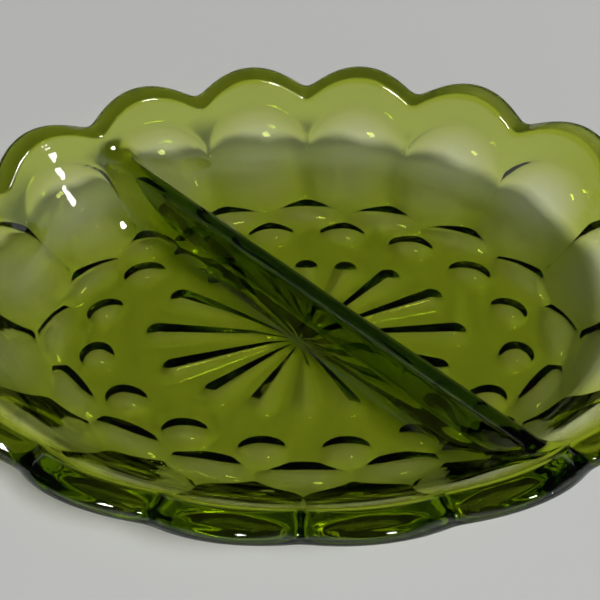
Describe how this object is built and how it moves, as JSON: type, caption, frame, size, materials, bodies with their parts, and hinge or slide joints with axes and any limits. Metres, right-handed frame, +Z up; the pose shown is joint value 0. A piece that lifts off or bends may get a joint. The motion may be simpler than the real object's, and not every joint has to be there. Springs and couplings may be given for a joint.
{
  "type": "divided dish",
  "caption": "Oval pressed-glass relish dish in transparent olive green, with a scalloped flared rim, thumbprint wall, rayed-star floor and a diagonal divider making two compartments.",
  "frame": {"origin": "middle of the oval, at the flat underside that stands on the table", "axes": "+X along the length of the oval, +Y across it, +Z up out of the dish"},
  "size_m": [0.2218, 0.1656, 0.0414],
  "materials": {
    "green_glass": "fire-polished, clear"
  },
  "bodies": {
    "root": {"star_floor": "green_glass", "thumbprint_wall": "green_glass", "scalloped_rim": "green_glass", "divider": "green_glass"}
  },
  "joints": []
}
